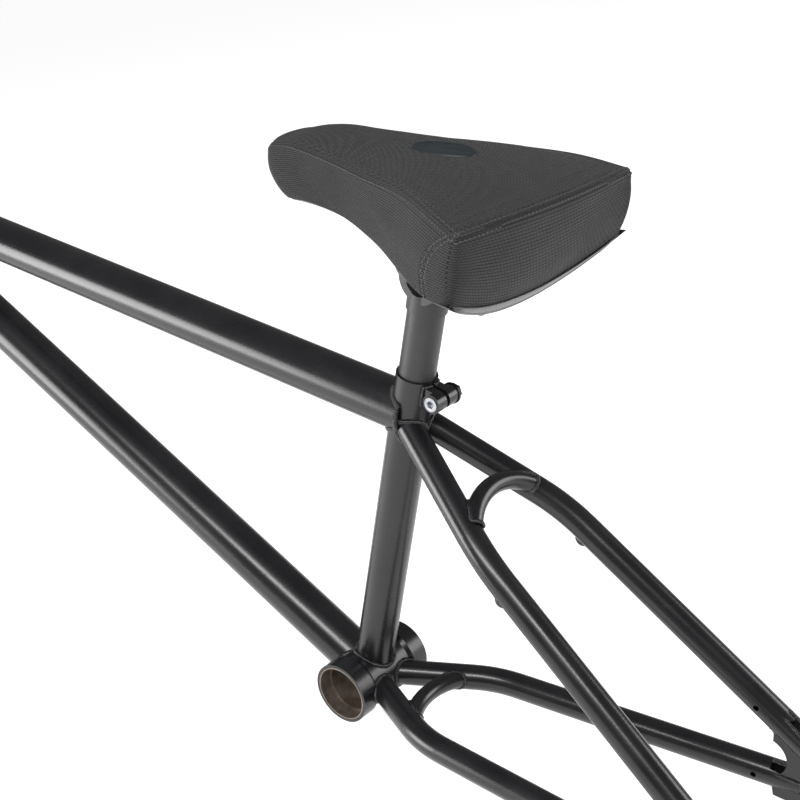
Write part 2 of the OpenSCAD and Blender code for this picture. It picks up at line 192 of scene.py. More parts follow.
# Bottom bracket shell: turned steel with a bare, brown-stained bore between its bearing seats.
# Only the outside is painted; the bore shows turning marks and a little oil.
shell_finish = satin_paint("shell_paint_and_bare_bore")
spot = shell_finish.place()
split = shell_finish.node("ShaderNodeSeparateXYZ", None, {"Vector": spot})
side_x = split
side_z = Value(shell_finish, split.socket.node.outputs[2])
side_y = Value(shell_finish, split.socket.node.outputs[1])
from_axis = (side_x * side_x + side_z * side_z).maths("SQRT")
bore = from_axis.ramp(0.02145, 0.02125)
turned = shell_finish.node("ShaderNodeTexNoise", {"noise_dimensions": "1D"}, {"W": side_y, "Scale": 2200.0})
stain = shell_finish.noise(90.0, 5.0)
bare = shell_finish.colours(stain.ramp(0.3, 0.7), (0.16, 0.125, 0.10), (0.30, 0.26, 0.23))
painted_black = shell_finish.shader.inputs["Base Color"].links[0].from_socket
dull = shell_finish.shader.inputs["Roughness"].links[0].from_socket
shell_finish.feed(Base_Color=shell_finish.colours(bore, Value(shell_finish, painted_black), bare),
                  Roughness=Value(shell_finish, dull) * (1 - bore) + bore * (turned * 0.2 + 0.32),
                  Metallic=bore * 0.85)
finish_node("bottom_bracket_shell", shell_finish)


# Weld beads: each mitred joint is run round with a filler bead laid in overlapping ripples,
# then painted with the frame. Thin sections such as the clamp lugs get a smaller bead.
def unit(vector):
    return np.array(vector, float) / np.linalg.norm(vector)


def straight(start, end, count=120):
    return np.linspace(start, end, count)


def bent(start, corner, end, radius):
    """The centre line of a tube bent once."""
    start, corner, end = (np.array(v, float) for v in (start, corner, end))
    first, second = unit(corner - start), unit(end - corner)
    turn = math.acos(first @ second)
    cut = radius * math.tan(turn / 2)
    side = unit(second - first * (first @ second))
    middle = corner - first * cut + side * radius
    angles = np.linspace(0, turn, 40)[:, None]
    arc = middle - side * radius * np.cos(angles) + first * radius * np.sin(angles)
    return np.vstack([straight(start, corner - first * cut), arc, straight(corner + second * cut, end)])


def line_skin(points, radius):
    """Distance from the skin of a tube round a centre line, less than nothing inside it."""
    def skin(p):
        gaps = np.linalg.norm(p[:, None, :] - points[None], axis=2)
        return gaps.min(1) - radius
    return skin


def turned_skin(origin, direction, places, radii):
    """Distance from a turned body, whose radius follows its place along the axis."""
    def skin(p):
        out = p - origin
        place = out @ direction
        away = np.linalg.norm(out - place[:, None] * direction, axis=1)
        return away - np.interp(place, places, radii)
    return skin


def meeting(path, radius, skins, sideways=(0, 0, 1), count=44):
    """The closed line where a tube, followed toward its joint, runs into what it is welded to."""
    headings = np.gradient(path, axis=0)
    headings /= np.linalg.norm(headings, axis=1)[:, None]
    across_one = np.cross(headings, np.array(sideways, float))
    across_one /= np.linalg.norm(across_one, axis=1)[:, None]
    across_two = np.cross(headings, across_one)
    loop = []
    for angle in np.linspace(0, 2 * math.pi, count, endpoint=False):
        trail = path + radius * (across_one * math.cos(angle) + across_two * math.sin(angle))
        depth = np.min([skin(trail) for skin in skins], axis=0)
        inside = np.argmax(depth < 0) if (depth < 0).any() else len(path) - 1
        if inside > 0 and depth[inside] < 0:
            share = depth[inside - 1] / (depth[inside - 1] - depth[inside])
            loop.append(trail[inside - 1] + (trail[inside] - trail[inside - 1]) * share)
        else:
            loop.append(trail[inside])
    return np.array(loop)


seat_dir = np.array([-math.cos(math.radians(71)), 0, math.sin(math.radians(71))])
head_dir = np.array([-math.cos(math.radians(75)), 0, math.sin(math.radians(75))])
top_dir = np.array([math.cos(math.radians(11.5)), 0, math.sin(math.radians(11.5))])
top_start = seat_dir * 241
top_end = top_start + top_dir * 536
head_foot = top_end - head_dir * 85
down_end = top_end - head_dir * 52
down_dir = unit(down_end)
axle = np.array([-math.sqrt(350**2 - 30**2), 0, -30])
head_skin = turned_skin(head_foot, head_dir, [0, 15, 21, 93, 99, 114], [24.3, 24.3, 20.3, 20.3, 24.3, 24.3])
shell_skin = turned_skin(np.zeros(3), np.array([0, 1.0, 0]), [-36.5, -22.5, -19.5, 19.5, 22.5, 36.5],
                         [23.8, 23.8, 21.6, 21.6, 23.8, 23.8])
seat_skin = turned_skin(np.zeros(3), seat_dir, [0, 271], [14.3, 14.3])
chain_tip, seat_tip = axle + [24, 63.5, 2.5], axle + [22, 61.5, 34]
chain_line = bent([-12, 8.1, -2], [-85, 44.5, -7.7], chain_tip, 93)
seat_line = bent(seat_dir * 235 + [0, 5, 0], [-164, 44.2, 152.8], seat_tip, 150)
mirror = np.array([1, -1, 1])
tube_welds = [
    meeting(straight(top_start + top_dir * 60, top_start), 17.45, [seat_skin]),
    meeting(straight(top_end - top_dir * 60, top_end), 17.45, [head_skin]),
    meeting(straight(down_end - down_dir * 60, down_end), 17.45,
            [head_skin, line_skin(straight(top_start, top_end, 260), 17.45)]),
    meeting(straight(down_dir * 80, down_dir * 0), 17.45, [shell_skin, seat_skin]),
    meeting(straight(seat_dir * 60, seat_dir * 0), 14.3, [shell_skin], sideways=(0, 1, 0)),
]
small_welds = []
for sign in (np.ones(3), mirror):
    tube_welds.append(meeting(chain_line[:60][::-1], 9.5, [shell_skin]) * sign)
    tube_welds.append(meeting(seat_line[:80][::-1], 9.5, [seat_skin, lambda p: p[:, 1] - 0.2]) * sign)


def bridge_line(crown, radius, sweep, rise):
    """Half of a bridge's centre line, from its crown to its left end."""
    angles = np.radians(np.linspace(0, sweep, 80))
    back_by = radius * np.cos(angles) - radius
    rise = math.radians(rise)
    return np.stack([crown[0] + back_by * math.cos(rise), radius * np.sin(angles),
                     crown[2] + back_by * math.sin(rise)], 1)


for line, stay in ((bridge_line((-55.5, 0, -3), 55, 37, 15), chain_line),
                   (bridge_line((-139.8, 0, 183), 45, 47, 55), seat_line)):
    loop = meeting(line[15:], 6.35, [line_skin(stay, 9.5)])
    small_welds += [loop, loop * mirror]

for stay, tip in ((chain_line, chain_tip), (seat_line, seat_tip)):
    heading = unit(tip - stay[-100])
    for face in (54.9, 61.1):
        half = math.sqrt(9.5**2 - (tip[1] - face) ** 2)
        upward_side = unit(np.cross(heading, [0, 1, 0]))
        sides = [(-24, -half), (-12, -half), (-0.5, -half), (0.3, 0), (-0.5, half), (-12, half), (-24, half)]
        run = np.array([tip + heading * a + upward_side * b for a, b in sides])
        run[:, 1] = face
        small_welds += [(run, "open"), (run * mirror, "open")]

clamp_centre = seat_dir * (271 - 9.6)
clamp_back = np.array([-math.sin(math.radians(71)), 0, -math.cos(math.radians(71))])
for sign in (1, -1):
    run = [(2.0, 6.9), (4.5, 6.9), (7.6, 6.9), (7.7, 3), (7.7, -3), (7.6, -6.9), (4.5, -6.9), (2.0, -6.9)]
    run = np.array([clamp_centre + clamp_back * math.sqrt(14.4**2 - y * y) + np.array([0, sign * y, 0])
                    + seat_dir * z for y, z in run])
    small_welds.append((run, "open"))


def path_mesh(name, runs):
    """One mesh of bare edges, in metres, from closed and open runs of points in millimetres."""
    spots, edges = [], []
    for run in runs:
        run, closed = (run[0], False) if isinstance(run, tuple) else (run, True)
        first = len(spots)
        spots += [tuple(p * 0.001) for p in run]
        edges += [(first + n, first + n + 1) for n in range(len(run) - 1)]
        if closed:
            edges.append((first + len(run) - 1, first))
    mesh = bpy.data.meshes.new(name)
    mesh.from_pydata(spots, edges, [])
    made = bpy.data.objects.new(name, mesh)
    bpy.context.scene.collection.objects.link(made)
    return made


def bead_tree():
    """Lays small rounded beads along every edge path, each one lengthwise on the path."""
    tree = bpy.data.node_groups.new("beads_along_a_path", "GeometryNodeTree")
    tree.interface.new_socket("Path", in_out="INPUT", socket_type="NodeSocketGeometry")
    for name in ("Spacing", "Bead Width", "Bead Length", "Unevenness"):
        tree.interface.new_socket(name, in_out="INPUT", socket_type="NodeSocketFloat")
    tree.interface.new_socket("Seed", in_out="INPUT", socket_type="NodeSocketInt")
    tree.interface.new_socket("Finish", in_out="INPUT", socket_type="NodeSocketMaterial")
    tree.interface.new_socket("Beads", in_out="OUTPUT", socket_type="NodeSocketGeometry")
    add, link = tree.nodes.new, tree.links.new
    given, result = add("NodeGroupInput"), add("NodeGroupOutput")
    curve, even = add("GeometryNodeMeshToCurve"), add("GeometryNodeResampleCurve")
    even.mode = "LENGTH"
    bead, put = add("GeometryNodeMeshUVSphere"), add("GeometryNodeInstanceOnPoints")
    bead.inputs["Segments"].default_value, bead.inputs["Rings"].default_value = 10, 7
    bead.inputs["Radius"].default_value = 0.5
    tangent_node, align = add("GeometryNodeInputTangent"), add("FunctionNodeAlignRotationToVector")
    align.axis = "Z"
    chance, size, scaled = add("FunctionNodeRandomValue"), add("ShaderNodeCombineXYZ"), add("ShaderNodeVectorMath")
    scaled.operation = "SCALE"
    low_end, high_end = add("ShaderNodeMath"), add("ShaderNodeMath")
    low_end.operation, high_end.operation = "SUBTRACT", "ADD"
    low_end.inputs[0].default_value = high_end.inputs[0].default_value = 1.0
    real, smooth_faces, coat = add("GeometryNodeRealizeInstances"), add("GeometryNodeSetShadeSmooth"), add("GeometryNodeSetMaterial")
    link(given.outputs["Path"], curve.inputs["Mesh"])
    link(curve.outputs["Curve"], even.inputs["Curve"])
    link(given.outputs["Spacing"], even.inputs["Length"])
    link(even.outputs["Curve"], put.inputs["Points"])
    link(bead.outputs["Mesh"], put.inputs["Instance"])
    link(tangent_node.outputs["Tangent"], align.inputs["Vector"])
    link(align.outputs["Rotation"], put.inputs["Rotation"])
    link(given.outputs["Unevenness"], low_end.inputs[1])
    link(given.outputs["Unevenness"], high_end.inputs[1])
    link(low_end.outputs[0], chance.inputs[2])
    link(high_end.outputs[0], chance.inputs[3])
    link(given.outputs["Seed"], chance.inputs["Seed"])
    link(given.outputs["Bead Width"], size.inputs["X"])
    link(given.outputs["Bead Width"], size.inputs["Y"])
    link(given.outputs["Bead Length"], size.inputs["Z"])
    link(size.outputs["Vector"], scaled.inputs[0])
    link(chance.outputs[1], scaled.inputs["Scale"])
    link(scaled.outputs["Vector"], put.inputs["Scale"])
    link(put.outputs["Instances"], real.inputs["Geometry"])
    link(real.outputs["Geometry"], smooth_faces.inputs["Geometry"])
    link(smooth_faces.outputs["Geometry"], coat.inputs["Geometry"])
    link(given.outputs["Finish"], coat.inputs["Material"])
    link(coat.outputs["Geometry"], result.inputs["Beads"])
    return tree


beads = bead_tree()


def beaded(name, runs, finish, spacing, width, length, uneven, seed):
    """A plain mesh of beads along runs of points, sizes in millimetres."""
    path = path_mesh(name + "_path", runs)
    laid = path.modifiers.new("beads", "NODES")
    laid.node_group = beads
    given = {"Spacing": spacing * 0.001, "Bead Width": width * 0.001, "Bead Length": length * 0.001,
             "Unevenness": uneven, "Seed": seed, "Finish": finish.material}
    for item in beads.interface.items_tree:
        if item.item_type == "SOCKET" and item.in_out == "INPUT" and item.name in given:
            laid[item.identifier] = given[item.name]
    bpy.context.view_layer.update()
    ready = path.evaluated_get(bpy.context.evaluated_depsgraph_get())
    mesh = bpy.data.meshes.new_from_object(ready)
    mesh.name = name
    bpy.data.objects.remove(path)
    made = bpy.data.objects.new(name, mesh)
    bpy.context.scene.collection.objects.link(made)
    return made


weld_paint = satin_paint("weld_paint", gloss=0.2)
for name, runs, spacing, width, length, seed in (("tube_welds", tube_welds, 1.6, 3.9, 3.0, 3),
                                                 ("small_welds", small_welds, 1.4, 3.0, 2.6, 5)):
    weld = beaded(name, runs, weld_paint, spacing, width, length, 0.12, seed)
    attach(weld, "frame")


# Seat clamp hardware: a bright zinc-plated socket bolt, and a blackened nut under the far lug.
def metal(name, light, dull, rough):
    steel = Finish(name, Specular_IOR_Level=0.5)
    grain = steel.noise(420.0, 3.0, stretch=(1, 6, 1))
    mottle = steel.noise(120.0, 4.0)
    steel.feed(Base_Color=steel.colours(mottle.ramp(0.3, 0.75), light, dull),
               Roughness=grain * 0.14 + mottle * 0.1 + rough, Metallic=mottle.ramp(0.2, 0.4, 0.92, 1.0))
    return steel.bump(grain, 0.00004, 0.6)


zinc = metal("bright_zinc", (0.50, 0.51, 0.54), (0.26, 0.27, 0.29), 0.2)
blackened = metal("blackened_steel", (0.035, 0.035, 0.037), (0.02, 0.02, 0.02), 0.3)
for name in ("clamp_bolt", "half_moon_nut", "pivot_bolt", "pivot_washer"):
    finish_node(name, zinc)
finish_node("clamp_nut", blackened)

# Seat post: drawn alloy tube with its round head, anodised matt black, with faint draw lines and a slightly cloudy
# tone.
post_finish = Finish("anodised_post", Metallic=0.0, Specular_IOR_Level=0.5)
draw_lines = post_finish.noise(300.0, 3.0, stretch=(8, 8, 0.4))
cloud = post_finish.noise(30.0, 4.0)
post_finish.feed(Base_Color=post_finish.colours(cloud.ramp(0.3, 0.7), (0.014, 0.014, 0.015), (0.022, 0.022, 0.023)),
                 Roughness=draw_lines * 0.12 + cloud * 0.08 + 0.34)
post_finish.bump(draw_lines, 0.00003, 0.5)
finish_node("seat_post", post_finish)
finish_node("post_head", post_finish)


# Seat cover and padding: foam glued on the base and covered with four sewn panels of embossed
# fabric: the top, the two sides that meet at the nose, and the rear. The seams are folded and
# double stitched. Pressure swells the foam between the seams, which hold the panels in.
pivot = Vector((-0.11265, 0.0, 0.32715))
seat_frame = (Matrix.Translation(pivot) @ Matrix.Rotation(math.radians(-19.0), 4, "Y")
              @ Matrix.Rotation(math.radians(-3.6), 4, "Z") @ Matrix.Rotation(math.radians(9.6), 4, "Y"))
nose_x, seat_length = 127.0, 216.6
nose_corner = 9.0
rear_bow, lip_in, lip_drop = 10.4, 17.6, 28.5
corner_reach = 27.5
seat_fill = 0.6


def smooth(places, values, at):
    """A smooth curve through the values."""
    places, values = np.array(places, float), np.array(values, float)
    slopes = np.gradient(values, places)
    at = np.clip(at, places[0], places[-1])
    span = np.clip(np.searchsorted(places, at, side="right") - 1, 0, len(places) - 2)
    width = places[span + 1] - places[span]
    u = (at - places[span]) / width
    return ((2 * u**3 - 3 * u**2 + 1) * values[span] + (u**3 - 2 * u**2 + u) * width * slopes[span]
            + (3 * u**2 - 2 * u**3) * values[span + 1] + (u**3 - u**2) * width * slopes[span + 1])


def ease(low, high, at):
    u = np.clip((at - low) / (high - low), 0, 1)
    return u * u * (3 - 2 * u)


stations = [0, 0.12, 0.3, 0.5, 0.7, 0.88, 1]


def seam_half(t):
    width = smooth(stations, [21.6, 25.6, 32.8, 44.4, 56.0, 72.2, 81.0], t)
    left = np.clip(seat_length * t / nose_corner, 0, 1)
    return width - nose_corner + nose_corner * np.sqrt(np.clip(1 - (1 - left) ** 2, 0, 1))


def seam_height(t):
    return smooth(stations, [65.0, 71.2, 73.2, 74.7, 76.4, 75.0, 71.0], t)


def top_point(t, k):
    """A point on the top panel: t runs from nose to rear, k from the right side to the left."""
    x = (nose_x - seat_length * t + 2.5 * (1 - k**2) * (1 - ease(0, 0.1, t))
         - rear_bow * (1 - k**2) * ease(0.72, 1.0, t))
    crown = smooth([0, 0.12, 0.5, 0.85, 1], [1.5, 3.4, 4.4, 5.8, 4.2], t) * (1 - np.abs(k) ** 2.3)
    return np.stack([x, seam_half(t) * k, seam_height(t) + crown], -1)


def low_point(t, k):
    """A point on the underside, where the cover folds round the base."""
    x = (113.0 - 202.0 * t + 2.5 * (1 - k**2) * (1 - ease(0, 0.1, t))
         + lip_in * (1 - k**2) * ease(0.72, 1.0, t))
    half = seam_half(t) * smooth(stations, [1.06, 1.016, 0.951, 0.971, 1.11, 1.095, 1.048], t)
    height = smooth(stations, [31.0, 34.6, 35.9, 32.6, 29.2, 27.2, 29.6], t)
    drop = smooth([0, 0.12, 0.5, 0.8, 1], [1.0, 6.0, 8.0, 14.0, lip_drop], t) * (1 - k**2)
    return np.stack([x, half * k, height - drop], -1)


def graded(first, growth, total):
    """Distances from a seam that start close together and grow to an even step."""
    marks, step = [0.0], first
    while marks[-1] < total:
        marks.append(marks[-1] + step)
        step = min(step * growth, 2.2)
    marks = np.array(marks)
    return marks * total / marks[-1]


rounding = np.linspace(0, math.pi / 2, 12)
nose_rows = nose_corner * (1 - np.cos(rounding)) / seat_length
rear_rows = 1 - graded(0.45, 1.22, seat_length * (1 - nose_rows[-1]))[::-1] / seat_length
rows = np.concatenate([nose_rows[:-1], rear_rows])
half_columns = 1 - graded(0.45, 1.22, 56.0) / 56.0
columns = np.concatenate([-half_columns, half_columns[::-1][1:]])
wall_marks = graded(0.45, 1.22, 43.0)
wall_steps = wall_marks / wall_marks[-1]
grid_t, grid_k = np.meshgrid(rows, columns, indexing="ij")
top_grid = top_point(grid_t, grid_k)
low_grid = low_point(grid_t, grid_k)
count_t, count_k = len(rows), len(columns)

# the rim of a grid, in order: right side from the rear, the nose, the left side, the rear
rim = ([(i, 0) for i in range(count_t - 1, 0, -1)] + [(0, j) for j in range(count_k - 1)]
       + [(i, count_k - 1) for i in range(count_t - 1)] + [(count_t - 1, j) for j in range(count_k - 1, 0, -1)])
rim_i, rim_j = np.array(rim).T
rim_top, rim_low = top_grid[rim_i, rim_j], low_grid[rim_i, rim_j]


def along(loop):
    """Distance along a closed loop of points, and its whole length."""
    steps = np.linalg.norm(np.roll(loop, -1, 0) - loop, axis=1)
    return np.concatenate([[0], np.cumsum(steps)[:-1]]), steps.sum()


def rounded(loop, reach, where):
    """Rounds a closed loop over a reach in millimetres where the weights say so."""
    place, total = along(loop)
    even = np.linspace(0, total, 1600, endpoint=False)
    closed = np.vstack([loop, loop[:1]])
    dense = np.stack([np.interp(even, np.append(place, total), closed[:, c]) for c in range(3)], 1)
    offsets = np.arange(-160, 161) * total / 1600
    weight = np.exp(-0.5 * (offsets / reach) ** 2)
    padded = np.vstack([dense[-160:], dense, dense[:160]])
    soft = np.stack([np.convolve(padded[:, c], weight / weight.sum(), "valid") for c in range(3)], 1)
    soft = np.vstack([soft, soft[:1]])
    moved = np.stack([np.interp(place, np.append(even, total), soft[:, c]) for c in range(3)], 1)
    return loop + (moved - loop) * where[:, None]


rim_place, rim_total = along(rim_top)
tangent = np.roll(rim_top, -1, 0) - np.roll(rim_top, 1, 0)
outward = np.stack([-tangent[:, 1], tangent[:, 0], np.zeros(len(rim))], 1) * -1
outward /= np.linalg.norm(outward, axis=1)[:, None]
flip_out = np.sign(((rim_top - [0, 0, 70]) * outward).sum(1).mean())
outward *= flip_out
corner_right = 0.0
corner_left = rim_place[rim.index((count_t - 1, count_k - 1))]
rear_zone = 1 - ease(-62, -40, rim_top[:, 0])
wall = []
for s in wall_steps:
    level_loop = rim_top + (rim_low - rim_top) * s
    swell = 3.2 * math.sin(math.pi * s) ** 0.8 + 1.2 * (1 - (1 - s) ** 4) * math.cos(s * math.pi / 2)
    nose_swell = 3.5 * math.sin(math.pi * min(1, s * 1.02)) ** 0.7 * ease(85, 118, rim_top[:, 0])
    level_loop = level_loop + outward * (swell + nose_swell)[:, None]
    if s > 0:
        level_loop = rounded(level_loop, 2.0 + 9.0 * s, rear_zone * ease(0, 0.15, s))
    wall.append(level_loop)
wall = np.array(wall)

# seams: how far each wall point is from the seam that runs down from each rear corner
wall_s = wall_steps[:, None]
left_gap = corner_left - corner_reach * (1 - (1 - wall_s) ** 2.6) - rim_place[None, :]
right_gap = rim_place[None, :] - (corner_right + corner_reach * (1 - (1 - wall_s) ** 2.6))
right_gap = np.where(rim_place[None, :] > rim_total / 2 + corner_left / 2, rim_place[None, :] - rim_total, right_gap)


def seam_shape(distance):
    """A folded seam: a narrow groove with the cover rising beside it."""
    away = np.abs(distance)
    return (-1.3 * np.exp(-(away / 0.75) ** 2) - 0.75 * np.exp(-((away - 2.5) / 0.7) ** 2)
            + 0.6 * np.exp(-((away - 5.0) / 2.2) ** 2))


wall_from_top = wall_marks[:, None] * np.ones_like(rim_place)[None, :]
wall += outward[None] * seam_shape(wall_from_top)[..., None]
nearest_gap = np.minimum(np.abs(left_gap), np.abs(right_gap))
wall += outward[None] * (seam_shape(nearest_gap) * ease(0, 5, wall_from_top))[..., None]
side_edge = seam_half(grid_t) * (1 - np.abs(grid_k))
front_edge = seat_length * grid_t
rear_edge = seat_length * (1 - grid_t)
edge = np.minimum(np.minimum(side_edge, front_edge), rear_edge)
top_grid[..., 2] += seam_shape(edge)
wall[0] = top_grid[rim_i, rim_j]
low_grid[rim_i, rim_j] = wall[-1]

# one closed mesh, in metres, in the seat's own frame
points, index_top = [], np.arange(count_t * count_k).reshape(count_t, count_k)
points.append(top_grid.reshape(-1, 3))
ring = len(rim)
wall_index = np.zeros((len(wall_steps), ring), int)
wall_index[0] = index_top[rim_i, rim_j]
start = count_t * count_k
for level_number in range(1, len(wall_steps)):
    wall_index[level_number] = start + np.arange(ring)
    start += ring
    points.append(wall[level_number])
index_low = np.full((count_t, count_k), -1)
index_low[rim_i, rim_j] = wall_index[-1]
inner = index_low < 0
index_low[inner] = start + np.arange(inner.sum())
points.append(low_grid[inner])
points = np.vstack(points)
faces, spots = [], []
lift = np.array([0.0, 300.0])
for i in range(count_t - 1):
    for j in range(count_k - 1):
        corner = ((i, j), (i + 1, j), (i + 1, j + 1), (i, j + 1))
        faces.append([index_top[c] for c in corner])
        spots.append([top_grid[c][:2] for c in corner])
for level_number in range(len(wall_steps) - 1):
    for step in range(ring):
        after = (step + 1) % ring
        span = rim_total if after == 0 else rim_place[after]
        faces.append([wall_index[level_number][step], wall_index[level_number + 1][step],
                      wall_index[level_number + 1][after], wall_index[level_number][after]])
        spots.append([(rim_place[step], -wall_marks[level_number]) + lift,
                      (rim_place[step], -wall_marks[level_number + 1]) + lift,
                      (span, -wall_marks[level_number + 1]) + lift,
                      (span, -wall_marks[level_number]) + lift])
for i in range(count_t - 1):
    for j in range(count_k - 1):
        corner = ((i, j), (i, j + 1), (i + 1, j + 1), (i + 1, j))
        faces.append([index_low[c] for c in corner])
        spots.append([low_grid[c][:2] - lift for c in corner])


def placed(name, points, faces, finish, scale=0.001):
    """A new piece from points in millimetres in the seat's own frame."""
    mesh = bpy.data.meshes.new(name)
    mesh.from_pydata([seat_frame @ Vector(p * scale) for p in np.asarray(points, float)], [],
                     [[int(v) for v in face] for face in faces])
    mesh.materials.append(finish.material)
    made = bpy.data.objects.new(name, mesh)
    bpy.context.scene.collection.objects.link(made)
    work = bmesh.new()
    work.from_mesh(mesh)
    bmesh.ops.recalc_face_normals(work, faces=work.faces)
    work.to_mesh(mesh)
    work.free()
    mesh.shade_smooth()
    return made


def swelling(points, faces):
    """Swells a copy of the pad as cloth under pressure, and gives how far each point moved."""
    pad = placed("pad_copy", points, faces, frame_paint)
    bpy.context.view_layer.objects.active = pad
    remesh = pad.modifiers.new("remesh", "REMESH")
    remesh.mode, remesh.voxel_size = "VOXEL", 0.005
    bpy.ops.object.select_all(action="DESELECT")
    pad.select_set(True)
    bpy.ops.object.modifier_apply(modifier="remesh")
    before = np.array([v.co for v in pad.data.vertices])
    cloth = pad.modifiers.new("cloth", "CLOTH")
    cloth.settings.use_pressure = True
    cloth.settings.uniform_pressure_force = 4.0
    cloth.settings.effector_weights.gravity = 0.0
    cloth.settings.quality = 6
    cloth.settings.tension_stiffness = cloth.settings.compression_stiffness = 25.0
    cloth.settings.shear_stiffness = 12.0
    cloth.settings.bending_stiffness = 2.0
    cloth.point_cache.frame_start, cloth.point_cache.frame_end = 1, 20
    for number in range(1, 21):
        bpy.context.scene.frame_set(number)
    ready = pad.evaluated_get(bpy.context.evaluated_depsgraph_get())
    after = np.array([v.co for v in ready.to_mesh().vertices])
    bpy.context.scene.frame_set(1)
    tree = KDTree(len(before))
    for number, spot in enumerate(before):
        tree.insert(spot, number)
    tree.balance()
    moves = []
    for p in points:
        near = tree.find_n(seat_frame @ Vector(p * 0.001), 10)
        weight = np.array([math.exp(-(gap / 0.006) ** 2) + 1e-9 for spot, number, gap in near])
        shift = np.array([after[number] - before[number] for spot, number, gap in near])
        moves.append((shift * weight[:, None]).sum(0) / weight.sum())
    bpy.data.objects.remove(pad)
    moves = np.array(moves) * 1000
    length = np.linalg.norm(moves, axis=1)
    print("pad swelling, mm: mean", round(length.mean(), 2), "most", round(length.max(), 2))
    moves *= np.minimum(1, 5.0 / np.maximum(length, 1e-6))[:, None]
    turn_back = np.array(seat_frame.to_3x3().inverted())
    return moves @ turn_back.T


cover_cloth = Finish("seat_fabric", Specular_IOR_Level=0.14, Sheen_Weight=0.04, Sheen_Roughness=0.5)
spot = cover_cloth.place(uv=True)
cell = cover_cloth.node("ShaderNodeTexBrick", {"offset": 0.5, "squash": 1.0},
                        {"Vector": spot, "Scale": 1.0, "Mortar Size": 0.36, "Mortar Smooth": 1.0,
                         "Brick Width": 2.9, "Row Height": 1.5, "Bias": 0.0}, output=1)
thread = cover_cloth.node("ShaderNodeTexWave", {"wave_type": "BANDS", "bands_direction": "DIAGONAL"},
                          {"Vector": spot, "Scale": 1.6, "Distortion": 0.0, "Detail": 0.0})
tint = cover_cloth.noise(38.0, 4.0)
speck = cover_cloth.noise(1500.0, 2.0)
raised = 1 - cell
# Colour: a diagonal weave pattern. The grooves between the raised cells are painted near-black, which is painted shade
# in the recesses of the embossing. A random tint on top stands for wear.
weave_and_groove_shade = cover_cloth.colours(raised * 0.75 + thread * 0.25, (0.0006, 0.0006, 0.0007), (0.04, 0.04, 0.041))
worn_weave_and_groove_shade = cover_cloth.colours(tint.ramp(0.45, 0.75) * 0.25, weave_and_groove_shade, (0.016, 0.016, 0.0165))
cover_cloth.feed(Base_Color=worn_weave_and_groove_shade, Roughness=tint * 0.12 + (1 - raised) * 0.15 + 0.48)
cover_cloth.bump(raised * 0.8 + thread * 0.15 + speck * 0.1, 0.0005, 1.0)

moves = swelling(points, faces)
hold = np.ones(len(points))
hold[index_top] = ease(0, 22, edge) * 0.9 + 0.1
for level_number in range(len(wall_steps)):
    away = np.minimum(wall_marks[level_number], nearest_gap[level_number])
    away = np.minimum(away, wall_marks[-1] - wall_marks[level_number] + 1)
    hold[wall_index[level_number]] = ease(0, 18, away) * 0.9 + 0.1
hold[index_low[inner]] = 0.0
points = points + moves * hold[:, None] * seat_fill
seat_pad = placed("seat_pad", points, faces, cover_cloth)
layer = seat_pad.data.uv_layers.new(name="cloth")
layer.data.foreach_set("uv", np.array([s for face in spots for s in face], np.float32).ravel())
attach(seat_pad, "seat")
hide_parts("top_cover", "left_cover", "right_cover", "rear_cover", "seat_foam")


# Seat base: one moulding of glossy black nylon, a shallow tray under the foam with two cheeks
# that clamp the post's round head. Its rear edge turns up as a lip over the fabric.
nylon = Finish("base_nylon", Specular_IOR_Level=0.5, Coat_Roughness=0.15)
flow = nylon.noise(22.0, 3.0)
pit = nylon.noise(900.0, 2.0)
nylon.feed(Base_Color=nylon.colours(flow.ramp(0.3, 0.7), (0.010, 0.010, 0.0105), (0.018, 0.018, 0.019)),
           Roughness=flow * 0.1 + pit * 0.06 + 0.2)
nylon.bump(pit, 0.00004, 0.4)
tray_rows, tray_columns = rows[::3], columns[::2]
tray_t, tray_k = np.meshgrid(np.append(tray_rows, 1.0), np.append(tray_columns, 1.0), indexing="ij")
tray_top = low_point(tray_t, tray_k * 0.95) * [0.975, 1, 1] + [0, 0, 2.4]
tray_ribs = 1.2 * np.exp(-((np.abs(tray_k) - 0.45) / 0.05) ** 2)
tray_low = tray_top - np.stack([0 * tray_k, 0 * tray_k, 3.0 + tray_ribs], -1)


def closed_grid(first, second):
    """Two matching grids of points joined round their edges into one closed shell."""
    n, m = first.shape[:2]
    index = np.arange(n * m).reshape(n, m)
    faces = []
    for i in range(n - 1):
        for j in range(m - 1):
            corner = [index[i, j], index[i + 1, j], index[i + 1, j + 1], index[i, j + 1]]
            faces += [corner, [v + n * m for v in reversed(corner)]]
    edge = ([index[i, 0] for i in range(n)] + [index[n - 1, j] for j in range(1, m)]
            + [index[i, m - 1] for i in range(n - 2, -1, -1)] + [index[0, j] for j in range(m - 2, 0, -1)])
    for one, two in zip(edge, edge[1:] + edge[:1]):
        faces.append([one, two, two + n * m, one + n * m])
    return np.vstack([first.reshape(-1, 3), second.reshape(-1, 3)]), faces


tray_points, tray_faces = closed_grid(tray_top, tray_low)
base_points, base_faces = [tray_points], list(tray_faces)
made_so_far = len(tray_points)

